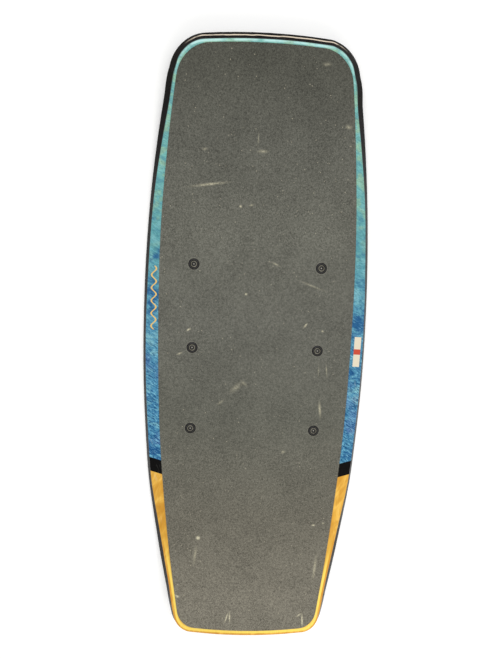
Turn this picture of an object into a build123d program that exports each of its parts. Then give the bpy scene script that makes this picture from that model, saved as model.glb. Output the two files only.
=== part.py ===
from build123d import *
import math
import os

# A wakeskate: a stiff laminated board with a grip deck, ridden without bindings.
# Millimetres. +Y runs to the nose, +X to the rider's right when facing the nose, +Z up from the deck.
# The origin is under the middle of the board, on the surface that it rests on.

# Rocker: the base is flat in the middle, then one arc curves up to each tip. The sweep, in degrees,
# takes the arc past the tip.
FLAT_HALF = 170
ROCKER_RADIUS = 1760
ROCKER_SWEEP = 14

# Cutting blocks reach this far from the origin along and across, which is past every edge.
PAST_THE_BOARD = 600

# Layers from the base up.
BASE_SHEET = 1.5
SKIN = 0.8
CORE = 10.9
VENEER = 0.8
GRIP = 0.8
CORE_BOTTOM = BASE_SHEET + SKIN
CORE_TOP = CORE_BOTTOM + CORE
VENEER_BOTTOM = CORE_TOP + SKIN
DECK_TOP = VENEER_BOTTOM + VENEER

# Plan outlines: (distance along the board, half width) down each side, past both tips so that
# the end arcs cut it, then the place and radius of each end arc and the radius of its corners.
DECK_SIDE = [
    (-600, 118.5),
    (-475, 142.8),
    (-401, 157.7),
    (-325, 172.9),
    (-248, 187.0),
    (-171, 193.6),
    (-56, 199.6),
    (56, 200.4),
    (165, 196.5),
    (271, 188.8),
    (405, 167.2),
    (480, 152.5),
    (600, 126.0),
]
DECK_NOSE = {"tip": 529.3, "radius": 1265, "corner": 54}
DECK_TAIL = {"tip": 537.0, "radius": 1000, "corner": 36}

# The ridge is the board's widest line, at the top of the lower skin; the rail slopes down to it.
RIDGE_SIDE = [
    (-600, 124.5),
    (-484, 147.6),
    (-409, 165.2),
    (-332, 180.2),
    (-253, 193.2),
    (-175, 200.0),
    (-59, 206.0),
    (55, 207.0),
    (165, 204.2),
    (273, 196.8),
    (409, 178.8),
    (476, 166.4),
    (600, 137.0),
]
RIDGE_NOSE = {"tip": 544, "radius": 1200, "corner": 68}
RIDGE_TAIL = {"tip": 544, "radius": 1000, "corner": 46}

GRIP_SIDE = [
    (-600, 113.0),
    (-475, 135.0),
    (-401, 147.6),
    (-325, 157.7),
    (-248, 166.0),
    (-171, 172.0),
    (-56, 176.8),
    (60, 178.6),
    (165, 178.0),
    (271, 173.4),
    (339, 167.4),
    (405, 160.2),
    (470, 150.9),
    (600, 128.0),
]
GRIP_NOSE = {"tip": 524.2, "radius": 1265, "corner": 60}
GRIP_TAIL = {"tip": 529.0, "radius": 1000, "corner": 36}

# Rail mouldings: how far they reach in under the deck's edge, and where the tip pieces start.
RAIL_WIDTH = 10
NOSE_RAIL_FROM = 452
TAIL_RAIL_FROM = -468

# The flared blank runs between these level planes, below and above the whole board. Its edges are
# sampled about every SAMPLE_SPACING, starting from the tail's left corner, at a bearing in degrees.
LOW_PLANE = 0
HIGH_PLANE = 58
SAMPLE_SPACING = 45
FEWEST_SAMPLES = 6
FIRST_BEARING = 225

# Core: two hardwood stringers between light wood panels.
STRINGER_X = 46
STRINGER_WIDTH = 12

# Deck fasteners: two columns of three, six inches apart along the board.
COLUMN_X = 116
ROW_PITCH = 152.4
ROW_MIDDLE_Y = 3
GRIP_HOLE_RADIUS = 10.4
SCREW_HOLE_RADIUS = 3.3
WASHER_RADIUS = 10
WASHER_HEIGHT = 2.2
WASHER_RIM = 0.7
WASHER_CREST_RADIUS = 7.6
WASHER_CREST_WIDTH = 1.0
WASHER_BORE_RADIUS = 3.4
WASHER_FLOOR = 0.5
WASHER_SEAT_RADIUS = 6.2
CUP_RADIUS = 6.7
CUP_STEP = 0.3
HEAD_RADIUS = 6.4
HEAD_CHAMFER = 0.3
HEAD_EDGE = 1.2
HEAD_SHOULDER = (3.84, 2.15)
HEAD_CROWN_RADIUS = 2.6
HEAD_CROWN = 2.4
SOCKET_ACROSS_FLATS = 4
SOCKET_DEPTH = 1.6
SHANK_RADIUS = 2.95
SHANK_LENGTH = 11
INSERT_RADIUS = 5.5
INSERT_BORE_RADIUS = 3.0
INSERT_LENGTH = 10
INSERT_FLOOR = 1.0

# Fins: one near each tip, each on a flange held by two countersunk screws from below.
FIN_Y = 440
FIN_FLANGE_LENGTH = 96
FIN_FLANGE_WIDTH = 22
FIN_FLANGE = 3.2
FIN_DEPTH = 17
FIN_THICKNESS = 6
FIN_ROOT = 84
FIN_TIP = 22
FIN_WAIST = 54
FIN_WAIST_DEPTH = 10.5
FIN_RUN_OUT = (0.9, -0.35)
FIN_EDGE_RADIUS = 2.4
FLANGE_CHAMFER = 1
FIN_SCREW_PITCH = 72
FIN_TOP_FILL = 2
FIN_HEAD_RADIUS = 4.6
FIN_HEAD_EDGE = 0.3
FIN_SHANK_RADIUS = 2.4
FIN_HOLE_RADIUS = 2.8
FIN_SCREW_LENGTH = 9
FIN_INSERT_RADIUS = 4.5
FIN_INSERT_BORE_RADIUS = 2.5
FIN_INSERT_LENGTH = 7.5
FIN_INSERT_RECESS = 0.1
FIN_INSERT_TOP = CORE_BOTTOM + FIN_INSERT_RECESS + FIN_INSERT_LENGTH
FIN_SOCKET_ACROSS_FLATS = 3
FIN_SOCKET_DEPTH = 1.5

EXPORT_FOLDER = "parts"


# ---- rocker ----


def rocker_height(y):
    """Height of the base above the resting surface."""
    run = max(abs(y) - FLAT_HALF, 0)
    return ROCKER_RADIUS - math.sqrt(ROCKER_RADIUS**2 - run**2)


def rocker_slope(y):
    """Angle of the base in degrees, positive where it climbs to the nose."""
    run = max(abs(y) - FLAT_HALF, 0)
    return math.copysign(math.degrees(math.asin(run / ROCKER_RADIUS)), y)


def rocker_line(height):
    """Side view of a surface that lies height above the base, tail to nose."""
    radius = ROCKER_RADIUS - height
    down = 270
    tail = CenterArc((-FLAT_HALF, ROCKER_RADIUS), radius, down - ROCKER_SWEEP, ROCKER_SWEEP)
    middle = Line((-FLAT_HALF, height), (FLAT_HALF, height))
    nose = CenterArc((FLAT_HALF, ROCKER_RADIUS), radius, down, ROCKER_SWEEP)
    return [tail, middle, nose]


def band(low, high):
    """Everything between two heights above the base."""
    lower = rocker_line(low)
    upper = rocker_line(high)
    tail_end = Line(lower[0] @ 0, upper[0] @ 0)
    nose_end = Line(lower[2] @ 1, upper[2] @ 1)
    profile = make_face([*lower, nose_end, *upper, tail_end])
    return extrude(Plane.YZ.offset(-PAST_THE_BOARD) * profile, 2 * PAST_THE_BOARD)


# ---- plan outlines ----


def plan(side, nose, tail):
    """Flat outline: two curved sides cut by two shallow end arcs, with rounded corners."""
    right = Spline(*[(half, y) for y, half in side])
    left = Spline(*[(-half, y) for y, half in side])
    tail_cap = Line(left @ 0, right @ 0)
    nose_cap = Line(left @ 1, right @ 1)
    outline = make_face([right, nose_cap, left, tail_cap])
    outline &= Pos(0, nose["tip"] - nose["radius"]) * Circle(nose["radius"])
    outline &= Pos(0, tail["radius"] - tail["tip"]) * Circle(tail["radius"])
    outline = fillet(outline.vertices().sort_by(Axis.Y)[:2], tail["corner"])
    return fillet(outline.vertices().sort_by(Axis.Y)[-2:], nose["corner"])


def prism(face):
    """A plan outline made into a block that is taller than the board."""
    return extrude(face, HIGH_PLANE)


# ---- the flared blank ----


def edges_round(outline):
    """The outline's edges anticlockwise from the first bearing, each as (edge, runs backwards)."""

    def bearing(edge):
        middle = edge @ 0.5
        return (math.atan2(middle.Y, middle.X) - math.radians(FIRST_BEARING)) % math.tau

    edges = sorted(outline.edges(), key=bearing)
    return [(edge, (edge @ 0).cross(edge @ 1).Z < 0) for edge in edges]


def sample(edge, backwards, share):
    """Point and tangent at a share of the way along an edge, taken anticlockwise."""
    if backwards:
        return edge @ (1 - share), -(edge % (1 - share))
    return edge @ share, edge % share


def paired_rows(upper, lower):
    """For each edge, a row of pairs of samples that face each other on two outlines."""
    rows = []
    for upper_edge, lower_edge in zip(edges_round(upper), edges_round(lower)):
        steps = max(FEWEST_SAMPLES, round(upper_edge[0].length / SAMPLE_SPACING))
        shares = [step / steps for step in range(steps + 1)]
        rows.append([(sample(*upper_edge, share), sample(*lower_edge, share)) for share in shares])
    return rows


def closed_wire(rows, place):
    """One smooth edge for each row, through the points and end tangents that place() gives."""
    placed = [[place(deck, ridge) for deck, ridge in row] for row in rows]
    edges = []
    for row, following in zip(placed, placed[1:] + placed[:1]):
        points = [point for point, _ in row[:-1]] + [following[0][0]]
        edges.append(Edge.make_spline(points, tangents=[row[0][1], following[0][1]]))
    return Wire(edges)


def core_place(deck, _ridge):
    """The core's edge lies a rail's width inside the deck's edge."""
    point, tangent = deck
    return point + Vector(-tangent.Y, tangent.X) * RAIL_WIDTH, tangent


def side_place(deck, ridge, height):
    """Where the straight line through the deck's edge and the ridge passes a given height."""
    ridge_height = rocker_height(ridge[0].Y) + CORE_BOTTOM
    deck_height = rocker_height(deck[0].Y) + DECK_TOP
    along = (height - ridge_height) / (deck_height - ridge_height)
    point = ridge[0] + (deck[0] - ridge[0]) * along
    tangent = ridge[1] + (deck[1] - ridge[1]) * along
    return Vector(point.X, point.Y, height), tangent


def flared_blank(rows):
    """Block whose side runs straight from the deck's edge to the ridge all the way round."""
    low = closed_wire(rows, lambda deck, ridge: side_place(deck, ridge, LOW_PLANE))
    high = closed_wire(rows, lambda deck, ridge: side_place(deck, ridge, HIGH_PLANE))
    return Solid.make_loft([low, high], ruled=True)


# ---- fasteners ----


def bolt_places():
    """Where the six deck fasteners stand, on the flat middle of the base."""
    rows = [ROW_MIDDLE_Y + ROW_PITCH * step for step in (-1, 0, 1)]
    return [upright(side * COLUMN_X, y) for y in rows for side in (-1, 1)]


def upright(x, y):
    """A place on the base, turned to stand square to it."""
    return Pos(x, y, rocker_height(y)) * Rot(rocker_slope(y), 0, 0)


def fin_screw_places(fin_y):
    """The two screws of the fin at fin_y, each square to the base where it stands."""
    return [upright(0, fin_y + side * FIN_SCREW_PITCH / 2) for side in (-1, 1)]


def bore(radius, low, high):
    """A round cutter between two heights above the base."""
    return Pos(0, 0, low) * Cylinder(radius, high - low, align=(Align.CENTER, Align.CENTER, Align.MIN))


def hex_socket(across_flats, depth):
    """A cutter for a screw's socket, from its floor up."""
    return extrude(RegularPolygon(across_flats / 2, 6, major_radius=False), depth)


def turned(*points):
    """A solid of revolution from (radius, height) points."""
    profile = make_face(Polyline(*points, close=True))
    return revolve(Plane.XZ * profile, Axis.Z)


def cup_washer():
    """Raised ring whose sloped cup centres the screw head; its underside is on the veneer."""
    cup = turned(
        (WASHER_BORE_RADIUS, 0),
        (WASHER_RADIUS, 0),
        (WASHER_RADIUS, WASHER_RIM),
        (WASHER_CREST_RADIUS + WASHER_CREST_WIDTH / 2, WASHER_HEIGHT),
        (WASHER_CREST_RADIUS - WASHER_CREST_WIDTH / 2, WASHER_HEIGHT),
        (CUP_RADIUS, WASHER_FLOOR + CUP_STEP),
        (WASHER_SEAT_RADIUS, WASHER_FLOOR),
        (WASHER_BORE_RADIUS, WASHER_FLOOR),
    )
    return Pos(0, 0, DECK_TOP) * cup


def deck_screw():
    """Domed socket-head screw that seats in the washer and stops short of the insert's floor."""
    head = turned(
        (0, 0),
        (HEAD_RADIUS - HEAD_CHAMFER, 0),
        (HEAD_RADIUS, HEAD_CHAMFER),
        (HEAD_RADIUS, HEAD_EDGE - HEAD_CHAMFER),
        (HEAD_RADIUS - HEAD_CHAMFER, HEAD_EDGE),
        HEAD_SHOULDER,
        (HEAD_CROWN_RADIUS, HEAD_CROWN),
        (0, HEAD_CROWN),
    )
    head -= Pos(0, 0, HEAD_CROWN - SOCKET_DEPTH) * hex_socket(SOCKET_ACROSS_FLATS, SOCKET_DEPTH)
    shank = bore(SHANK_RADIUS, -SHANK_LENGTH, 0)
    return Pos(0, 0, DECK_TOP + WASHER_FLOOR) * (head + shank)


def threaded_insert(radius, bore_radius, length, floor):
    """Blind insert standing on its closed end."""
    return bore(radius, 0, length) - bore(bore_radius, floor, length)


def deck_insert():
    """Insert whose open end is flush with the core's top."""
    body = threaded_insert(INSERT_RADIUS, INSERT_BORE_RADIUS, INSERT_LENGTH, INSERT_FLOOR)
    return Pos(0, 0, CORE_TOP - INSERT_LENGTH) * body


def fin_insert():
    """The same kind of insert, let into the core from below."""
    body = threaded_insert(FIN_INSERT_RADIUS, FIN_INSERT_BORE_RADIUS, FIN_INSERT_LENGTH, INSERT_FLOOR)
    return Pos(0, 0, FIN_INSERT_TOP) * Rot(180, 0, 0) * body


def fin_screw():
    """Countersunk screw driven up through the flange."""
    cone = FIN_HEAD_RADIUS - FIN_SHANK_RADIUS
    body = turned(
        (0, 0),
        (FIN_HEAD_RADIUS, 0),
        (FIN_HEAD_RADIUS, FIN_HEAD_EDGE),
        (FIN_SHANK_RADIUS, FIN_HEAD_EDGE + cone),
        (FIN_SHANK_RADIUS, FIN_SCREW_LENGTH),
        (0, FIN_SCREW_LENGTH),
    )
    body -= hex_socket(FIN_SOCKET_ACROSS_FLATS, FIN_SOCKET_DEPTH)
    return Pos(0, 0, -FIN_FLANGE) * body


def fin_screw_seat():
    """Cutter for the flange: the countersink and the clearance hole."""
    seat_radius = FIN_HEAD_RADIUS + FIN_HOLE_RADIUS - FIN_SHANK_RADIUS
    cone = FIN_HEAD_RADIUS - FIN_SHANK_RADIUS
    below = -1
    above = FIN_FLANGE + FIN_TOP_FILL
    seat = turned(
        (0, below),
        (seat_radius, below),
        (seat_radius, FIN_HEAD_EDGE),
        (FIN_HOLE_RADIUS, FIN_HEAD_EDGE + cone),
        (FIN_HOLE_RADIUS, above),
        (0, above),
    )
    return Pos(0, 0, -FIN_FLANGE) * seat


# ---- fins ----


def fin_flange():
    """The flange, overlong at its top, which is trimmed to the base afterwards."""
    outline = SlotOverall(FIN_FLANGE_LENGTH, FIN_FLANGE_WIDTH, rotation=90)
    flange = Pos(0, 0, -FIN_FLANGE) * extrude(outline, FIN_FLANGE + FIN_TOP_FILL)
    bottom_edges = flange.edges().group_by(Axis.Z)[0]
    return chamfer(bottom_edges, FLANGE_CHAMFER)


def fin_blade():
    """A shallow blade, the same fore and aft, with rounded edges along its tip."""
    root_height = -FIN_FLANGE + 0.5
    rake = Spline(
        (-FIN_ROOT / 2, root_height),
        (-FIN_WAIST / 2, -FIN_WAIST_DEPTH),
        (-FIN_TIP / 2, -FIN_DEPTH),
        tangents=[FIN_RUN_OUT, (1, 0)],
    )
    trail = mirror(rake, Plane.YZ)
    tip = Line(rake @ 1, trail @ 1)
    root = Line(trail @ 0, rake @ 0)
    side_view = make_face([rake, tip, trail, root])
    blade = extrude(Plane.YZ * side_view, FIN_THICKNESS / 2, both=True)
    tip_edges = blade.edges().filter_by(Axis.X, reverse=True).group_by(Axis.Z)[0]
    return fillet(tip_edges, FIN_EDGE_RADIUS)


def make_fin(fin_y):
    """A fin at fin_y, its flange's top trimmed to the base and its screw holes countersunk."""
    fin = upright(0, fin_y) * (fin_flange() + fin_blade()) - band(0, DECK_TOP)
    return cut_holes(fin, fin_screw_places(fin_y), fin_screw_seat())


# ---- the assembly ----


def cut_holes(layer, places, cutter):
    """The layer with the cutter taken out at each place."""
    for place in places:
        layer -= place * cutter
    return layer


def slab(low_x, high_x):
    """Everything between two distances across the board."""
    width = high_x - low_x
    block = Box(width, 2 * PAST_THE_BOARD, 4 * HIGH_PLANE)
    return Pos((low_x + high_x) / 2, 0, 0) * block


def stretch(low_y, high_y):
    """Everything between two distances along the board."""
    length = high_y - low_y
    block = Box(2 * PAST_THE_BOARD, length, 4 * HIGH_PLANE)
    return Pos(0, (low_y + high_y) / 2, 0) * block


def core_strips(core):
    """The core cut lengthwise into its glued strips."""
    inner = STRINGER_X - STRINGER_WIDTH / 2
    outer = STRINGER_X + STRINGER_WIDTH / 2
    spans = {
        "core_left_panel": (-PAST_THE_BOARD, -outer),
        "left_stringer": (-outer, -inner),
        "core_centre_panel": (-inner, inner),
        "right_stringer": (inner, outer),
        "core_right_panel": (outer, PAST_THE_BOARD),
    }
    return {name: core & slab(*span) for name, span in spans.items()}


def rail_pieces(rail):
    """The edge moulding: a tip piece at each end and a strip down each side."""
    sides = rail & stretch(TAIL_RAIL_FROM, NOSE_RAIL_FROM)
    return {
        "nose_rail": rail & stretch(NOSE_RAIL_FROM, PAST_THE_BOARD),
        "tail_rail": rail & stretch(-PAST_THE_BOARD, TAIL_RAIL_FROM),
        "left_rail": sides & slab(-PAST_THE_BOARD, 0),
        "right_rail": sides & slab(0, PAST_THE_BOARD),
    }


def board_layers():
    """Every layer and strip of the board, with its holes."""
    deck = plan(DECK_SIDE, DECK_NOSE, DECK_TAIL)
    ridge = plan(RIDGE_SIDE, RIDGE_NOSE, RIDGE_TAIL)
    rows = paired_rows(deck, ridge)
    flared = flared_blank(rows)
    straight = prism(ridge)
    core_block = prism(Face(closed_wire(rows, core_place)))
    bolts = bolt_places()
    fin_screws = fin_screw_places(FIN_Y) + fin_screw_places(-FIN_Y)

    through = bore(SCREW_HOLE_RADIUS, CORE_TOP, DECK_TOP + GRIP)
    fin_hole = bore(FIN_HOLE_RADIUS, -FIN_FLANGE, CORE_BOTTOM + FIN_INSERT_RECESS)
    core = core_block & band(CORE_BOTTOM, CORE_TOP)
    core = cut_holes(core, bolts, bore(INSERT_RADIUS, CORE_TOP - INSERT_LENGTH, CORE_TOP))
    core = cut_holes(core, fin_screws, bore(FIN_INSERT_RADIUS, BASE_SHEET, FIN_INSERT_TOP))
    grip = prism(plan(GRIP_SIDE, GRIP_NOSE, GRIP_TAIL)) & band(DECK_TOP, DECK_TOP + GRIP)

    layers = {
        "grip_tape": cut_holes(grip, bolts, bore(GRIP_HOLE_RADIUS, DECK_TOP, DECK_TOP + GRIP)),
        "top_veneer": cut_holes(flared & band(VENEER_BOTTOM, DECK_TOP), bolts, through),
        "top_laminate": cut_holes(flared & band(CORE_TOP, VENEER_BOTTOM), bolts, through),
        "bottom_laminate": cut_holes(straight & band(BASE_SHEET, CORE_BOTTOM), fin_screws, fin_hole),
        "base_sheet": cut_holes(straight & band(0, BASE_SHEET), fin_screws, fin_hole),
    }
    layers.update(core_strips(core))
    layers.update(rail_pieces((flared & band(CORE_BOTTOM, CORE_TOP)) - core_block))
    return layers


def copies(shape, places):
    """Identical fasteners as one group of solids."""
    return [place * shape for place in places]


def hardware():
    """Fasteners, inserts and fins."""
    bolts = bolt_places()
    fin_screws = fin_screw_places(FIN_Y) + fin_screw_places(-FIN_Y)
    return {
        "deck_cup_washers": copies(cup_washer(), bolts),
        "deck_screws": copies(deck_screw(), bolts),
        "deck_inserts": copies(deck_insert(), bolts),
        "fin_inserts": copies(fin_insert(), fin_screws),
        "fin_screws": copies(fin_screw(), fin_screws),
        "nose_fin": make_fin(FIN_Y),
        "tail_fin": make_fin(-FIN_Y),
    }


def write_node(name, shape):
    """One file for each node, holding only its solids."""
    solids = ShapeList(shape).solids() if isinstance(shape, list) else shape.solids()
    export_step(Compound(children=list(solids)), f"{EXPORT_FOLDER}/{name}.step")


os.makedirs(EXPORT_FOLDER, exist_ok=True)
for name, shape in {**board_layers(), **hardware()}.items():
    write_node(name, shape)
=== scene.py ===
import math

import bpy
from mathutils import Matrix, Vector

# The looks of the wakeskate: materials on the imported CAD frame, a pale floor, studio lights and the
# camera. Lengths are millimetres in the part's frame, where +Y runs to the nose, +X to the rider's
# right and +Z up from the deck. The studio at the end of the script is in metres.

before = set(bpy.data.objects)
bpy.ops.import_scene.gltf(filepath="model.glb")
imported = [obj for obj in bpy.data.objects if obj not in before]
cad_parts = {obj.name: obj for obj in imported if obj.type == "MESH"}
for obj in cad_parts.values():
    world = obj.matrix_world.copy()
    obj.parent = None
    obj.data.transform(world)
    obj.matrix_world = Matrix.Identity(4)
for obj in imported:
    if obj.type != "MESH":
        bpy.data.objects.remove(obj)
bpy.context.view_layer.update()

MM_PER_METRE = 1000

# ---- the board, as in the part ----

# Rocker of the base: flat in the middle, then one arc up to each tip.
FLAT_HALF = 170
ROCKER_RADIUS = 1760

# Plan of the wooden deck: (distance along the board, half width) down each side, past both tips.
DECK_SIDE = [
    (-600, 118.5),
    (-475, 142.8),
    (-401, 157.7),
    (-325, 172.9),
    (-248, 187.0),
    (-171, 193.6),
    (-56, 199.6),
    (56, 200.4),
    (165, 196.5),
    (271, 188.8),
    (405, 167.2),
    (480, 152.5),
    (600, 126.0),
]

# The deck's ends: how far each tip is from the middle, and the radius of its corners. Here one
# radius, between the part's two, stands for both end arcs, and one angle, in degrees, is the turn
# from a side's normal to an end's at all four corners.
NOSE_TIP = 529.3
TAIL_TIP = 537.0
NOSE_CORNER = 54
TAIL_CORNER = 36
END_RADIUS = 1100
CORNER_ANGLE = 72

# Deck fasteners: two columns of three.
COLUMN_X = 116
ROW_PITCH = 152.4
ROW_MIDDLE_Y = 3

# The grip's tone, painted light that is brighter towards the tail and darker towards the nose, is set
# over this much of the board to each side of the middle.
GRIP_HALF = 540

# ---- marks on the border ----

# The black band leans back towards the centre line.
BAND_LEAN = 0.3
BAND_TOP = -264
BAND_BOTTOM = -290
BAND_BLUR = 0.3

# A plain gold wavy line on the left.
WAVE_X = -187.5
WAVE_FROM = 34
WAVE_TO = 150
WAVE_LENGTH = 23.2
WAVE_HEIGHT = 4.2
WAVE_WIDTH = 2.8
WAVE_SIDE_BLUR = 0.2
WAVE_END_BLUR = 0.5

# A plain cream sticker with one red bar on the right.
STICKER_X = 190.5
STICKER_Y = 3
STICKER_TURN = -1.5
STICKER_HALF_WIDTH = 6.2
STICKER_HALF_LENGTH = 28
BAR_HALF_LENGTH = 5

# The stain's colours run along this much of the board, from the band to the nose.
STAIN_LENGTH = 820

# Deep and pale places in the stain: (x, y, half length along the board, strength), where a negative
# strength is pale.
STAINS = [
    (190, 56, 46, 1.1),
    (184, -38, 14, 1.0),
    (190, -72, 16, -0.9),
    (190, -170, 40, 0.35),
    (-190, 168, 26, 0.7),
    (-190, 92, 56, 0.6),
    (-190, 6, 28, -0.7),
    (-190, -56, 24, 0.6),
    (-190, -100, 22, -0.4),
    (-184, -196, 46, 0.9),
]
STAIN_HALF_WIDTH = 34

# ---- where looks change: each pair is where one starts and where it is complete ----

# Along the board, by y.
YELLOWER_STAIN = (90, 330)
VIOLET_STAIN = (80, -20)
BOLDER_STROKES = (260, -180)
TAIL_EDGE_LIGHTING = (-340, -440)
NOSE_HIGHLIGHT_Y = (452, 512)
NOSE_RAIL_HIGHLIGHT_Y = (506, 522)

# Across the board, by x on the plain wood and by distance from the centre line on the nose's rail.
LIGHTER_RIGHT = (-60, 60)
NOSE_RAIL_HIGHLIGHT_X = (142, 112)

# By distance in from the deck's edge.
HIGHLIGHT_OUTSIDE = (2.6, 4.4)
HIGHLIGHT_INSIDE = (9.0, 7.0)
TAIL_EDGE_SHADE = (2.8, 1.2)
NOSE_HIGHLIGHT_EDGE = (4.6, 1.6)
SHADED_EDGE = (0.8, -1.0)

# By height above the base on the rails.
FLARE_REFLECTION = (5.0, 3.0)
FLARE_CHIPS = (5.2, 3.0)

# The painted highlight line along the nose's rail is at one height, and its blur is by distance from
# there.
NOSE_RAIL_HIGHLIGHT_HEIGHT = 7.6
NOSE_RAIL_HIGHLIGHT_BLUR = (1.25, 0.7)

# By distance from a deck fastener's axis.
# Painted highlight on the grip round each fastener's opening.
HOLE_HIGHLIGHT = (11.6, 10.4)
# Painted shadow on the deck round each washer.
WASHER_SHADOW = (12.4, 11.2)
WASHER_RIM = (9.5, 9.9)
# Painted highlight on each screw socket's floor.
SOCKET_HIGHLIGHT = (1.5, 0.7)

# The pale ring on a screw's head, partly rubbed oxide and partly painted highlight, is at one radius,
# and its blur is by distance from there.
HEAD_RING_RADIUS = 4.9
HEAD_RING_BLUR = (1.1, 0.5)

# ---- the grip's scuffs ----

# (x, y, angle in degrees from +X, half length, half width, strength)
SCUFFS = [
    (-92, 296, 8, 50, 4.0, 0.75),
    (1, 355, 2, 15, 5.0, 0.5),
    (-8, 375, 90, 15, 2.2, 0.4),
    (-101, 355, 7, 9, 4.0, 0.4),
    (149, 401, -6, 10, 6.0, 0.5),
    (103, 497, 3, 12, 5.0, 0.4),
    (-35, 260, 2, 4, 3.4, 1.3),
    (-16, 263, 13, 8, 3.0, 0.5),
    (-20, 104, -9, 4, 3.2, 1.5),
    (32, 160, -24, 14, 3.0, 0.5),
    (100, 123, -20, 40, 3.2, 0.35),
    (-123, 36, 32, 7, 2.6, 1.5),
    (-139, -9, 24, 9, 2.6, 0.9),
    (92, 50, 54, 9, 2.8, 1.2),
    (124, 40, 2, 4, 3.0, 0.9),
    (120, -34, 90, 18, 2.2, 0.4),
    (135, -34, 96, 20, 2.4, 0.5),
    (126, -108, 97, 24, 4.4, 0.7),
    (-33, -70, 41, 22, 9.0, 0.35),
    (-18, -62, -39, 13, 5.0, 0.35),
    (-61, -99, 36, 12, 4.0, 0.4),
    (60, -192, 18, 6, 5.0, 0.7),
    (-96, -360, 1, 5.5, 5.5, 2.4),
    (-101, -392, 84, 26, 5.0, 0.5),
    (123, -333, 1, 6, 2.2, 1.4),
    (142, -329, 1, 4, 2.4, 1.0),
    (128, -414, 83, 36, 5.0, 0.6),
    (-132, -468, -32, 7, 3.8, 1.5),
    (-38, -506, 72, 12, 2.2, 1.6),
    (-32, -505, 92, 14, 2.2, 1.6),
    (106, -509, 91, 16, 2.4, 1.9),
    (100, -500, 34, 9, 2.4, 1.3),
]

# Half depth of a mark: so much that the board's rocker hardly changes it.
MARK_HALF_DEPTH = 400

# A noise's values lie mostly between these.
NOISE_LOW = 0.3
NOISE_HIGH = 0.7


def srgb(red, green, blue):
    """An 8-bit display colour as the linear colour that shaders take."""

    def linear(value):
        share = value / 255
        if share <= 0.04045:
            return share / 12.92
        return ((share + 0.055) / 1.055) ** 2.4

    return (linear(red), linear(green), linear(blue), 1.0)


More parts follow.
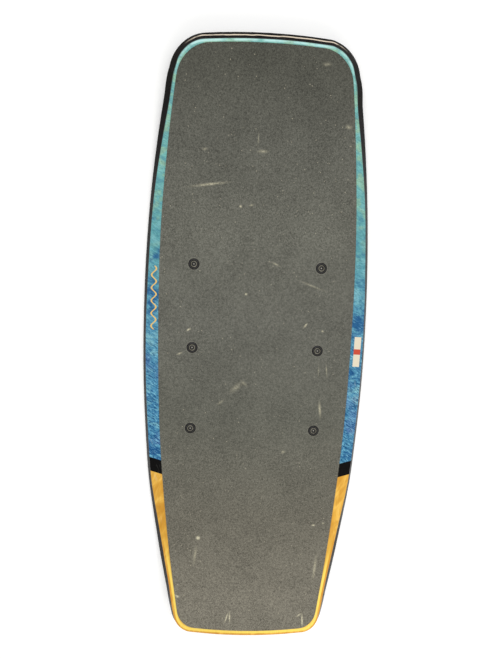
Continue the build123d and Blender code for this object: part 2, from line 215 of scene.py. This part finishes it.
class Paint:
    """Builds one material's nodes. What a method works out comes back as an output socket."""

    def __init__(self, name):
        self.material = bpy.data.materials.new(name)
        self.material.use_nodes = True
        self.tree = self.material.node_tree
        self.shader = self.tree.nodes["Principled BSDF"]
        metres = self.add("ShaderNodeTexCoord").outputs["Object"]
        self.place = self.scaled(metres, MM_PER_METRE)
        self.x, self.y, self.z = self.split(self.place)

    # ---- nodes ----

    def add(self, kind, **settings):
        """A new node with its settings; the only method that returns the node itself."""
        node = self.tree.nodes.new(kind)
        for key, value in settings.items():
            setattr(node, key, value)
        return node

    def link(self, source, target):
        """Joins a socket to an input, or sets the input where the source is a plain value."""
        if isinstance(source, bpy.types.NodeSocket):
            self.tree.links.new(source, target)
        else:
            target.default_value = source

    def math(self, operation, *values):
        node = self.add("ShaderNodeMath", operation=operation)
        for value, target in zip(values, node.inputs):
            self.link(value, target)
        return node.outputs[0]

    def plus(self, first, second):
        return self.math("ADD", first, second)

    def minus(self, first, second):
        return self.math("SUBTRACT", first, second)

    def times(self, first, second):
        return self.math("MULTIPLY", first, second)

    def square(self, value):
        return self.times(value, value)

    def absolute(self, value):
        return self.math("ABSOLUTE", value)

    def split(self, vector):
        """A vector's three parts."""
        node = self.add("ShaderNodeSeparateXYZ")
        self.link(vector, node.inputs[0])
        return node.outputs

    def ramp(self, value, low, high, out_low=0.0, out_high=1.0):
        """A smooth step of value from one limit to the other, which may be the lower one."""
        node = self.add("ShaderNodeMapRange", interpolation_type="SMOOTHSTEP")
        for source, target in zip((value, low, high, out_low, out_high), node.inputs):
            self.link(source, target)
        return node.outputs[0]

    def spread(self, noise, out_low=0.0, out_high=1.0):
        """A noise's usual range, smoothly stretched over another one."""
        return self.ramp(noise, NOISE_LOW, NOISE_HIGH, out_low, out_high)

    def stretched(self, sizes, turn=0.0, middle=(0, 0, 0)):
        """The place on the part from a middle, turned about Z and divided by a size on each axis."""
        node = self.add("ShaderNodeMapping", vector_type="TEXTURE")
        self.link(self.place, node.inputs["Vector"])
        node.inputs["Location"].default_value = middle
        node.inputs["Rotation"].default_value = (0, 0, math.radians(turn))
        node.inputs["Scale"].default_value = sizes
        return node.outputs[0]

    def noise(self, size, detail=2.0, roughness=0.5, distortion=0.0, turn=0.0, contrast=None):
        """Noise with lumps of about a size, or (x, y, z) sizes, at a turn about Z."""
        sizes = size if isinstance(size, tuple) else (size, size, size)
        node = self.add("ShaderNodeTexNoise")
        self.link(self.stretched(sizes, turn), node.inputs["Vector"])
        node.inputs["Scale"].default_value = 1.0
        node.inputs["Detail"].default_value = detail
        node.inputs["Roughness"].default_value = roughness
        node.inputs["Distortion"].default_value = distortion
        if contrast is None:
            return node.outputs["Fac"]
        return self.ramp(node.outputs["Fac"], *contrast)

    def cells(self, size):
        """Distance to the nearest random point, with points about a size apart."""
        node = self.add("ShaderNodeTexVoronoi")
        self.link(self.stretched((size, size, size)), node.inputs["Vector"])
        node.inputs["Scale"].default_value = 1.0
        return node.outputs["Distance"]

    def patch(self, half_x, half_y, turn, x, y):
        """A soft oval round (x, y), from 1 in its middle to 0 at its half sizes."""
        node = self.add("ShaderNodeTexGradient", gradient_type="QUADRATIC_SPHERE")
        sizes = (half_x, half_y, MARK_HALF_DEPTH)
        self.link(self.stretched(sizes, turn, (x, y, 0)), node.inputs[0])
        return node.outputs["Fac"]

    def mix(self, share, first, second):
        """The second colour over the first where the share is 1; it is held between 0 and 1."""
        node = self.add("ShaderNodeMix", data_type="RGBA")
        self.link(share, node.inputs[0])
        self.link(first, node.inputs[6])
        self.link(second, node.inputs[7])
        return node.outputs[2]

    def cover(self, colour, mask, strength, top):
        """The colour with a top one laid over it, by a mask at a strength."""
        return self.mix(self.times(mask, strength), colour, top)

    def colours(self, value, stops):
        """A colour ramp with (position, colour) stops."""
        node = self.add("ShaderNodeValToRGB")
        self.link(value, node.inputs[0])
        elements = node.color_ramp.elements
        while len(elements) < len(stops):
            elements.new(0.5)
        for element, (position, colour) in zip(elements, stops):
            element.position = position
            element.color = colour
        return node.outputs[0]

    def scaled(self, vector, factor):
        """A vector, such as a place or a colour, times a number."""
        node = self.add("ShaderNodeVectorMath", operation="SCALE")
        self.link(vector, node.inputs[0])
        self.link(factor, node.inputs["Scale"])
        return node.outputs[0]

    def bump(self, height, depth, under=None):
        """The normal of a bump that is that deep for a height of 1, over another normal."""
        node = self.add("ShaderNodeBump")
        node.inputs["Distance"].default_value = depth / MM_PER_METRE
        self.link(height, node.inputs["Height"])
        if under is not None:
            self.link(under, node.inputs["Normal"])
        return node.outputs[0]

    def rounded(self, radius):
        """A normal that rolls over sharp edges as if they had this radius."""
        node = self.add("ShaderNodeBevel")
        node.inputs["Radius"].default_value = radius / MM_PER_METRE
        return node.outputs[0]

    def finish(
        self, colour, roughness, normal, metallic=0.0, coat=0.0, coat_roughness=0.1, specular=0.5
    ):
        """Joins the looks to the shader and returns the material."""
        shader = self.shader
        self.link(colour, shader.inputs["Base Color"])
        self.link(roughness, shader.inputs["Roughness"])
        self.link(normal, shader.inputs["Normal"])
        shader.inputs["Metallic"].default_value = metallic
        shader.inputs["Coat Weight"].default_value = coat
        shader.inputs["Coat Roughness"].default_value = coat_roughness
        shader.inputs["Specular IOR Level"].default_value = specular
        return self.material

    # ---- places on the board ----

    def share_along(self, start, length):
        """The share of a length along the board that lies behind this place."""
        return self.math("DIVIDE", self.minus(self.y, start), length)

    def height_on_board(self):
        """Height above the base, measured straight up, with the rocker taken out."""
        run = self.math("MAXIMUM", self.minus(self.absolute(self.y), FLAT_HALF), 0)
        rest = self.math("SQRT", self.minus(ROCKER_RADIUS**2, self.square(run)))
        lift = self.minus(ROCKER_RADIUS, rest)
        return self.minus(self.z, lift)

    def deck_half_width(self):
        """Half width of the deck at this place along the board."""
        node = self.add("ShaderNodeFloatCurve")
        first = DECK_SIDE[0][0]
        length = DECK_SIDE[-1][0] - first
        widest = max(half for _, half in DECK_SIDE)
        curve = node.mapping.curves[0]
        while len(curve.points) < len(DECK_SIDE):
            curve.points.new(0.5, 0.5)
        for point, (y, half) in zip(curve.points, DECK_SIDE):
            point.location = ((y - first) / length, half / widest)
        node.mapping.update()
        self.link(self.share_along(first, length), node.inputs["Value"])
        return self.times(node.outputs[0], widest)

    def deck_edge_distance(self):
        """Distance in from the deck's edge, level at a corner's radius and further in."""
        # The radius changes over 2 mm at the board's middle, far from every corner.
        corner = self.ramp(self.y, -1, 1, TAIL_CORNER, NOSE_CORNER)
        side = self.minus(self.deck_half_width(), self.absolute(self.x))
        sag = self.math("DIVIDE", self.square(self.x), 2 * END_RADIUS)
        nose = self.minus(self.minus(NOSE_TIP, sag), self.y)
        tail = self.plus(self.minus(TAIL_TIP, sag), self.y)
        across = self.minus(corner, side)
        along = self.minus(corner, self.math("MINIMUM", nose, tail))
        return self.minus(corner, self.corner_reach(across, along))

    def corner_reach(self, across, along):
        """Distance out from a corner's centre: round in the corner, straight along its two walls.

        across and along are the distances from that centre along the side's and the end's normals.
        """
        lean = math.cos(math.radians(CORNER_ANGLE))
        product = self.times(self.times(across, along), 2 * lean)
        squares = self.minus(self.plus(self.square(across), self.square(along)), product)
        reach = self.math("SQRT", self.math("DIVIDE", squares, 1 - lean**2))
        past_side = self.math("GREATER_THAN", across, self.times(along, lean))
        past_end = self.math("GREATER_THAN", along, self.times(across, lean))
        in_corner = self.times(past_side, past_end)
        wall = self.math("MAXIMUM", self.math("MAXIMUM", across, along), 0)
        return self.plus(wall, self.times(in_corner, self.minus(reach, wall)))

    def fastener_distance(self):
        """Distance from the axis of the nearest deck fastener."""
        across = self.minus(self.absolute(self.x), COLUMN_X)
        from_middle_row = self.absolute(self.minus(self.y, ROW_MIDDLE_Y))
        from_end_row = self.absolute(self.minus(from_middle_row, ROW_PITCH))
        along = self.math("MINIMUM", from_middle_row, from_end_row)
        return self.math("SQRT", self.plus(self.square(across), self.square(along)))

    def scuffs(self):
        """Strength of the scuffs, broken up by grain."""
        total = 0.0
        for x, y, angle, half_length, half_width, strength in SCUFFS:
            scuff = self.patch(half_length, half_width, angle, x, y)
            total = self.plus(total, self.times(scuff, strength))
        broken = self.noise(2.2, detail=4, roughness=0.7, contrast=(0.36, 0.62))
        return self.times(total, self.plus(0.25, broken))

    def stains(self):
        """Depth of the stain: above 0 where it is deep and below 0 where it is pale."""
        total = 0.0
        for x, y, half_length, strength in STAINS:
            stain = self.patch(STAIN_HALF_WIDTH, half_length, 0, x, y)
            total = self.plus(total, self.times(stain, strength))
        return total

    def hairlines(self, turn, size=(1.1, 60, 60), contrast=(0.66, 0.74)):
        """Sparse fine scratches that run at a turn from +Y."""
        lines = self.noise(size, detail=1, turn=turn, contrast=contrast)
        scratched = self.noise(38, detail=2, contrast=(0.5, 0.6))
        return self.times(lines, scratched)


# ---- materials ----


def grip_material():
    """Grit sheet: dark grey, speckled, scuffed; painted light makes it lighter towards the tail, and
    painted highlights ring its fastener openings.
    """
    paint = Paint("grip_grit")
    # Painted light: the grip's tone runs lighter towards the tail and darker towards the nose.
    tone = paint.colours(
        paint.share_along(-GRIP_HALF, 2 * GRIP_HALF),
        [
            (0.06, srgb(122, 118, 106)),
            (0.2, srgb(109, 106, 95)),
            (0.38, srgb(100, 100, 91)),
            (0.54, srgb(103, 103, 95)),
            (0.7, srgb(106, 106, 97)),
            (0.84, srgb(97, 97, 89)),
            (0.96, srgb(83, 83, 75)),
        ],
    )
    grain = paint.noise(1.3, detail=3, roughness=0.7)
    coarse = paint.noise(3.4, detail=3, roughness=0.7)
    blotch = paint.noise(70, detail=3, roughness=0.55)
    shade = paint.plus(paint.spread(grain, 0.6, 1.46), paint.spread(coarse, -0.26, 0.26))
    shade = paint.plus(shade, paint.ramp(blotch, 0.32, 0.68, -0.1, 0.04))
    colour = paint.scaled(tone, shade)
    specks = paint.ramp(paint.cells(7), 0.13, 0.07)
    specks = paint.times(specks, paint.noise(16, detail=1, contrast=(0.5, 0.62)))
    colour = paint.cover(colour, specks, 0.85, srgb(196, 188, 164))
    colour = paint.cover(colour, paint.scuffs(), 1.3, srgb(206, 200, 172))
    # Painted highlight: a pale ring on the grip round each fastener's opening, where its cut edge
    # would catch the light.
    hole_highlight = paint.ramp(paint.fastener_distance(), *HOLE_HIGHLIGHT)
    colour = paint.cover(colour, hole_highlight, 0.35, srgb(168, 164, 150))
    roughness = paint.ramp(grain, 0.2, 0.8, 0.94, 0.7)
    normal = paint.bump(grain, 0.35, paint.bump(coarse, 0.25))
    return paint.finish(colour, roughness, normal, specular=0.15)


def stained_wood(paint):
    """Blue to turquoise stain with soft clouds and crosswise strokes, boldest towards the tail.

    Gives the colour, and the wood's figure for the bump.
    """
    tone = paint.colours(
        paint.share_along(BAND_BOTTOM, STAIN_LENGTH),
        [
            (0.03, srgb(62, 124, 154)),
            (0.12, srgb(76, 142, 178)),
            (0.28, srgb(82, 146, 180)),
            (0.42, srgb(92, 156, 182)),
            (0.58, srgb(98, 164, 170)),
            (0.76, srgb(118, 184, 178)),
            (1.0, srgb(132, 194, 182)),
        ],
    )
    cloud = paint.noise((22, 16, 60), detail=3, distortion=0.6)
    figure = paint.noise((9, 1.8, 40), detail=5, roughness=0.7, distortion=2.0, turn=-14)
    strokes = paint.noise((9, 2.2, 60), detail=4, roughness=0.66, distortion=1.0, turn=-32)
    near_nose = paint.ramp(paint.y, *YELLOWER_STAIN)
    depth = paint.plus(paint.stains(), paint.ramp(cloud, 0.34, 0.66, -0.5, 0.5))
    clouds = paint.ramp(near_nose, 0.0, 1.0, 1.0, 0.55)
    deep = paint.times(paint.ramp(depth, 0.05, 0.9), clouds)
    colour = paint.cover(tone, deep, 0.85, srgb(32, 88, 142))
    pale = paint.times(paint.ramp(depth, -0.05, -0.8), clouds)
    colour = paint.cover(colour, pale, 0.6, srgb(150, 206, 208))
    yellow = paint.times(paint.noise(19, detail=2, contrast=(0.5, 0.62)), near_nose)
    colour = paint.cover(colour, yellow, 0.36, srgb(178, 206, 144))
    violet = paint.noise(34, detail=1, contrast=(0.52, 0.64))
    violet = paint.times(violet, paint.ramp(paint.y, *VIOLET_STAIN))
    colour = paint.cover(colour, violet, 0.4, srgb(98, 122, 176))
    boldness = paint.ramp(paint.y, *BOLDER_STROKES, 0.3, 1.0)
    dark = paint.times(paint.ramp(strokes, 0.51, 0.57), boldness)
    colour = paint.cover(colour, dark, 0.9, srgb(18, 72, 118))
    light = paint.times(paint.ramp(strokes, 0.44, 0.37), boldness)
    colour = paint.cover(colour, light, 0.8, srgb(142, 204, 222))
    return paint.scaled(colour, paint.ramp(figure, 0.32, 0.68, 0.82, 1.18)), figure


def plain_wood(paint, edge):
    """Golden lacquered wood; round the tail, a painted highlight along the border's ridge and painted
    shade at its outer edge, and the right side painted lighter.

    Gives the colour, and the wood's grain for the bump.
    """
    figure = paint.noise((13, 46, 60), detail=4, roughness=0.55, distortion=0.8, turn=-24)
    grain = paint.noise((0.9, 30, 30), detail=3, roughness=0.6, turn=9)
    colour = paint.colours(
        figure,
        [
            (0.34, srgb(206, 148, 54)),
            (0.5, srgb(220, 165, 66)),
            (0.64, srgb(238, 188, 86)),
        ],
    )
    at_tail = paint.ramp(paint.y, *TAIL_EDGE_LIGHTING)
    # Painted highlight along the ridge of the border round the tail.
    crest_highlight = paint.times(paint.ramp(edge, *HIGHLIGHT_OUTSIDE), at_tail)
    crest_highlight = paint.times(crest_highlight, paint.ramp(edge, *HIGHLIGHT_INSIDE, 0.4, 0.95))
    colour = paint.mix(crest_highlight, colour, srgb(255, 222, 104))
    # Painted shade at the border's outer edge round the tail.
    outer_shade = paint.times(paint.ramp(edge, *TAIL_EDGE_SHADE), at_tail)
    colour = paint.cover(colour, outer_shade, 0.4, srgb(214, 142, 60))
    brightness = paint.ramp(grain, 0.3, 0.75, 1.05, 0.88)
    # Painted light: the wood a little lighter on the right side.
    brightness = paint.plus(brightness, paint.ramp(paint.x, *LIGHTER_RIGHT, 0.0, 0.12))
    return paint.scaled(colour, brightness), grain


def gold_wave(paint):
    """Share of a plain wavy line along the left border."""
    wave = paint.math("SINE", paint.times(paint.y, math.tau / WAVE_LENGTH))
    middle = paint.plus(WAVE_X, paint.times(wave, WAVE_HEIGHT))
    off_line = paint.absolute(paint.minus(paint.x, middle))
    half = WAVE_WIDTH / 2
    line = paint.ramp(off_line, half + WAVE_SIDE_BLUR, half - WAVE_SIDE_BLUR)
    past_start = paint.ramp(paint.y, WAVE_FROM, WAVE_FROM + WAVE_END_BLUR)
    before_end = paint.ramp(paint.y, WAVE_TO, WAVE_TO - WAVE_END_BLUR)
    return paint.times(line, paint.times(past_start, before_end))


def sticker(paint, half_length):
    """Share of a plain rectangle, centred on the right border and turned to lie along it."""
    sizes = (STICKER_HALF_WIDTH, half_length, MARK_HALF_DEPTH)
    x, y, _ = paint.split(paint.stretched(sizes, STICKER_TURN, (STICKER_X, STICKER_Y, 0)))
    across = paint.math("LESS_THAN", paint.absolute(x), 1.0)
    along = paint.math("LESS_THAN", paint.absolute(y), 1.0)
    return paint.times(across, along)


def deck_material():
    """The deck's face: stained wood, a black band, then plain wood at the tail, all lacquered; with a
    painted highlight along the nose's edge, painted shade at the deck's edge and painted shadow round
    the washers.
    """
    paint = Paint("deck_veneer")
    edge = paint.deck_edge_distance()
    stained, figure = stained_wood(paint)
    stained = paint.mix(gold_wave(paint), stained, srgb(238, 198, 112))
    stained = paint.mix(sticker(paint, STICKER_HALF_LENGTH), stained, srgb(232, 222, 198))
    stained = paint.mix(sticker(paint, BAR_HALF_LENGTH), stained, srgb(206, 82, 60))
    # Painted highlight: the stained wood paled almost to white along the nose's edge.
    tip = paint.times(paint.ramp(paint.y, *NOSE_HIGHLIGHT_Y), paint.ramp(edge, *NOSE_HIGHLIGHT_EDGE))
    tip = paint.times(tip, paint.noise((24, 12, 60), detail=3, contrast=(0.3, 0.62)))
    stained = paint.cover(stained, tip, 0.8, srgb(206, 250, 248))
    plain, grain = plain_wood(paint, edge)
    lean = paint.times(paint.absolute(paint.x), BAND_LEAN)
    along = paint.minus(paint.y, lean)
    past_band = paint.ramp(along, BAND_TOP - BAND_BLUR, BAND_TOP + BAND_BLUR)
    colour = paint.mix(past_band, srgb(7, 7, 6), stained)
    past_plain = paint.ramp(along, BAND_BOTTOM - BAND_BLUR, BAND_BOTTOM + BAND_BLUR)
    colour = paint.mix(past_plain, plain, colour)
    scratches = paint.plus(paint.hairlines(3), paint.hairlines(24))
    colour = paint.cover(colour, scratches, 0.25, srgb(214, 214, 200))
    rim = paint.ramp(edge, *SHADED_EDGE, 1.0, 0.55)
    # Painted shadow: the deck darkened almost to black round each washer.
    washer_shadow = paint.ramp(paint.fastener_distance(), *WASHER_SHADOW, 1.0, 0.04)
    colour = paint.scaled(colour, paint.times(rim, washer_shadow))
    roughness = paint.spread(paint.noise(9, detail=3), 0.34, 0.52)
    normal = paint.bump(grain, 0.04, paint.bump(figure, 0.06))
    return paint.finish(colour, roughness, normal, coat=0.03, coat_roughness=0.25, specular=0.04)


def rail_material():
    """Black rail plastic, scratched and chipped on its flare, its low flare paler as painted
    reflection, and a painted highlight line along the nose.
    """
    paint = Paint("rail_plastic_black")
    height = paint.height_on_board()
    mottle = paint.noise(11, detail=4, roughness=0.6)
    colour = paint.mix(paint.ramp(mottle, 0.35, 0.7), srgb(8, 7, 6), srgb(17, 15, 12))
    # Painted reflection: the lower flare lightened, as if it reflected its surroundings.
    colour = paint.cover(colour, paint.ramp(height, *FLARE_REFLECTION), 0.35, srgb(34, 32, 27))
    scratches = paint.plus(
        paint.hairlines(4, (0.8, 48, 20)),
        paint.hairlines(-58, (0.8, 26, 20)),
    )
    colour = paint.cover(colour, scratches, 0.3, srgb(110, 106, 98))
    # Painted highlight: a pale cream line along the rounded rail at the nose, where a glossy rail
    # would catch the light.
    near_tip = paint.ramp(paint.y, *NOSE_RAIL_HIGHLIGHT_Y)
    near_middle = paint.ramp(paint.absolute(paint.x), *NOSE_RAIL_HIGHLIGHT_X)
    ripple = paint.spread(paint.noise(30, detail=2), -0.5, 0.5)
    off_line = paint.absolute(paint.minus(paint.plus(height, ripple), NOSE_RAIL_HIGHLIGHT_HEIGHT))
    line = paint.times(paint.ramp(off_line, *NOSE_RAIL_HIGHLIGHT_BLUR), paint.times(near_tip, near_middle))
    line = paint.times(line, paint.noise((22, 6, 6), detail=3, contrast=(0.24, 0.44)))
    colour = paint.mix(line, colour, srgb(238, 222, 200))
    chips = paint.noise(6, detail=4, roughness=0.7, contrast=(0.66, 0.7))
    chips = paint.times(chips, paint.ramp(height, *FLARE_CHIPS))
    colour = paint.cover(colour, chips, 0.4, srgb(170, 158, 138))
    roughness = paint.plus(paint.spread(mottle, 0.2, 0.34), paint.times(scratches, 0.25))
    normal = paint.bump(scratches, -0.03, paint.bump(mottle, 0.03, paint.rounded(1.6)))
    return paint.finish(colour, roughness, normal, specular=0.05)


def base_material():
    """Sanded black running base with long scratches along the board and some aslant."""
    paint = Paint("base_plastic_black")
    mottle = paint.noise(26, detail=4, roughness=0.6)
    sanded = paint.noise((0.7, 40, 40), detail=2, roughness=0.6)
    colour = paint.mix(paint.ramp(mottle, 0.32, 0.7), srgb(36, 36, 36), srgb(48, 47, 46))
    colour = paint.scaled(colour, paint.spread(sanded, 0.82, 1.18))
    long_marks = paint.hairlines(2, (1.2, 190, 60), (0.63, 0.72))
    slant_marks = paint.hairlines(-31, (1.0, 80, 60))
    marks = paint.math("MINIMUM", paint.plus(long_marks, slant_marks), 1.0)
    colour = paint.cover(colour, marks, 0.5, srgb(140, 138, 132))
    roughness = paint.plus(paint.spread(mottle, 0.36, 0.5), paint.times(marks, 0.2))
    normal = paint.bump(marks, -0.08, paint.bump(sanded, 0.02))
    return paint.finish(colour, roughness, normal, specular=0.4)


def fin_material():
    """Moulded black plastic with a fine texture and paler rubbed patches."""
    paint = Paint("fin_nylon")
    grain = paint.noise(0.8, detail=3, roughness=0.6)
    rubbed = paint.noise(5, detail=4, roughness=0.65, contrast=(0.52, 0.68))
    colour = paint.mix(paint.spread(grain), srgb(24, 24, 24), srgb(42, 41, 39))
    colour = paint.cover(colour, rubbed, 0.35, srgb(128, 124, 114))
    roughness = paint.plus(paint.spread(grain, 0.4, 0.54), paint.times(rubbed, 0.1))
    return paint.finish(colour, roughness, paint.bump(grain, 0.05))


def washer_material():
    """Cup washers: black plastic, rubbed pale in places at the outer rim."""
    paint = Paint("cup_washer_plastic")
    grain = paint.noise(0.6, detail=3, roughness=0.6)
    colour = paint.mix(paint.spread(grain), srgb(8, 7, 6), srgb(22, 20, 17))
    rim = paint.ramp(paint.fastener_distance(), *WASHER_RIM)
    rim = paint.times(rim, paint.noise(4, detail=2, contrast=(0.35, 0.6)))
    colour = paint.cover(colour, rim, 0.3, srgb(120, 116, 104))
    roughness = paint.spread(grain, 0.3, 0.48)
    return paint.finish(colour, roughness, paint.bump(grain, 0.04))


def screw_material():
    """Black oxide button heads, with a pale ring on the crown that is partly rubbed oxide and partly
    painted highlight, and a painted highlight on the socket's floor.
    """
    paint = Paint("black_oxide_steel")
    reach = paint.fastener_distance()
    grain = paint.noise(0.5, detail=3, roughness=0.6)
    colour = paint.mix(paint.spread(grain), srgb(14, 14, 13), srgb(34, 33, 31))
    # A pale ring on each head's crown: partly rubbed oxide, partly painted highlight.
    ring = paint.ramp(paint.absolute(paint.minus(reach, HEAD_RING_RADIUS)), *HEAD_RING_BLUR)
    ring = paint.times(ring, paint.noise(5, detail=2, contrast=(0.2, 0.46)))
    colour = paint.cover(colour, ring, 0.8, srgb(128, 124, 110))
    # Painted highlight on the socket's floor.
    colour = paint.cover(colour, paint.ramp(reach, *SOCKET_HIGHLIGHT), 0.9, srgb(186, 182, 170))
    roughness = paint.spread(grain, 0.3, 0.45)
    return paint.finish(colour, roughness, paint.bump(grain, 0.02), metallic=0.15, specular=0.3)


def metal_material(name, dark, light, gloss):
    """Machined metal with fine tool marks and dull spots."""
    paint = Paint(name)
    brushed = paint.noise((0.25, 4, 4), detail=3, roughness=0.6, turn=20)
    dull = paint.noise(2.4, detail=4, roughness=0.6, contrast=(0.42, 0.66))
    colour = paint.mix(paint.spread(brushed), dark, light)
    colour = paint.scaled(colour, paint.minus(1.0, paint.times(dull, 0.3)))
    roughness = paint.plus(paint.spread(brushed, gloss, gloss + 0.15), paint.times(dull, 0.2))
    return paint.finish(colour, roughness, paint.bump(brushed, 0.015), metallic=1.0)


def core_material(name, light, dark, ring_size):
    """Sawn core wood with long grain and pores."""
    paint = Paint(name)
    rings = paint.noise((ring_size, 240, ring_size), detail=3, roughness=0.5, distortion=0.6)
    pores = paint.noise((0.6, 9, 0.6), detail=2, roughness=0.6)
    bands = paint.math("PINGPONG", paint.times(rings, 9), 1.0)
    colour = paint.mix(bands, light, dark)
    colour = paint.scaled(colour, paint.spread(pores, 1.08, 0.8))
    roughness = paint.spread(pores, 0.6, 0.8)
    return paint.finish(colour, roughness, paint.bump(pores, 0.06))


def laminate_material():
    """Black resin-soaked fibre skin with a crossed weave under the resin."""
    paint = Paint("fibre_laminate")
    first = paint.noise((1.2, 30, 30), detail=1, turn=45)
    second = paint.noise((1.2, 30, 30), detail=1, turn=-45)
    weave = paint.times(first, second)
    colour = paint.mix(paint.ramp(weave, 0.15, 0.4), srgb(14, 14, 13), srgb(40, 39, 36))
    roughness = paint.ramp(weave, 0.15, 0.4, 0.3, 0.45)
    return paint.finish(colour, roughness, paint.bump(weave, 0.04))


def floor_material():
    """White studio paper with a slight tooth and a faint glow, which keeps it white."""
    paint = Paint("studio_paper")
    tooth = paint.noise(3, detail=3, roughness=0.6)
    cloud = paint.noise(600, detail=2)
    colour = paint.mix(paint.spread(cloud), srgb(251, 251, 250), srgb(255, 255, 255))
    paint.shader.inputs["Emission Color"].default_value = (1, 1, 1, 1)
    paint.shader.inputs["Emission Strength"].default_value = 0.12
    roughness = paint.spread(tooth, 0.9, 0.98)
    return paint.finish(colour, roughness, paint.bump(tooth, 0.02), specular=0.1)


def dress():
    """Gives every CAD node its material."""
    core = core_material("core_paulownia", srgb(224, 196, 150), srgb(196, 160, 108), 16)
    hardwood = core_material("stringer_ash", srgb(204, 160, 106), srgb(160, 112, 66), 9)
    steel = metal_material("stainless_steel", srgb(150, 150, 150), srgb(204, 204, 202), 0.2)
    brass = metal_material("turned_brass", srgb(176, 136, 70), srgb(222, 184, 110), 0.24)
    dressed = [
        (grip_material(), ["grip_tape"]),
        (deck_material(), ["top_veneer"]),
        (laminate_material(), ["top_laminate", "bottom_laminate"]),
        (core, ["core_left_panel", "core_centre_panel", "core_right_panel"]),
        (hardwood, ["left_stringer", "right_stringer"]),
        (base_material(), ["base_sheet"]),
        (rail_material(), ["left_rail", "right_rail", "nose_rail", "tail_rail"]),
        (washer_material(), ["deck_cup_washers"]),
        (screw_material(), ["deck_screws"]),
        (fin_material(), ["nose_fin", "tail_fin"]),
        (steel, ["fin_screws"]),
        (brass, ["deck_inserts", "fin_inserts"]),
    ]
    for material, nodes in dressed:
        for node in nodes:
            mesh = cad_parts[node].data
            mesh.materials.clear()
            mesh.materials.append(material)


# ---- studio, in metres ----

FLOOR_REACH = 30.0
FLOOR_LEVEL = -0.0005


def area_light(name, size, place, aim, watts, colour=(1, 1, 1)):
    """A rectangular light at a place, turned to face an aim."""
    data = bpy.data.lights.new(name, "AREA")
    data.shape = "RECTANGLE"
    data.size, data.size_y = size
    data.energy = watts
    data.color = colour
    light = bpy.data.objects.new(name, data)
    light.location = place
    toward = Vector(aim) - Vector(place)
    light.rotation_euler = toward.to_track_quat("-Z", "Y").to_euler()
    bpy.context.scene.collection.objects.link(light)


def studio():
    """White paper floor, even white surroundings and soft lights."""
    mesh = bpy.data.meshes.new("studio_floor")
    signs = [(-1, -1), (1, -1), (1, 1), (-1, 1)]
    corners = [(x * FLOOR_REACH, y * FLOOR_REACH, FLOOR_LEVEL) for x, y in signs]
    mesh.from_pydata(corners, [], [(0, 1, 2, 3)])
    mesh.materials.append(floor_material())
    floor = bpy.data.objects.new("studio_floor", mesh)
    bpy.context.scene.collection.objects.link(floor)
    world = bpy.data.worlds.new("studio")
    world.use_nodes = True
    background = world.node_tree.nodes["Background"]
    background.inputs["Color"].default_value = (1, 1, 1, 1)
    background.inputs["Strength"].default_value = 0.4
    bpy.context.scene.world = world
    area_light("overhead", size=(3.0, 3.0), place=(0.2, 0.2, 2.6), aim=(0, 0, 0), watts=37)
    area_light(
        "tail_side",
        size=(1.6, 0.8),
        place=(0.3, -1.5, 1.5),
        aim=(0, -0.3, 0),
        watts=13,
        colour=(1.0, 0.98, 0.94),
    )
    area_light("nose_strip", size=(1.8, 0.3), place=(-0.1, 1.5, 0.6), aim=(0, 0.5, 0.04), watts=4)


def camera():
    """The view from above the board, a little towards the nose and the rider's left."""
    data = bpy.data.cameras.new("camera")
    data.lens = 27.04
    data.sensor_width = 36
    view = bpy.data.objects.new("camera", data)
    view.location = (-0.0530, 0.1357, 0.9203)
    view.rotation_mode = "ZYX"
    view.rotation_euler = (-0.106257, -0.0405741, 0.0298299)
    bpy.context.scene.collection.objects.link(view)
    bpy.context.scene.camera = view


dress()
studio()
camera()
bpy.context.scene.view_settings.view_transform = "Standard"
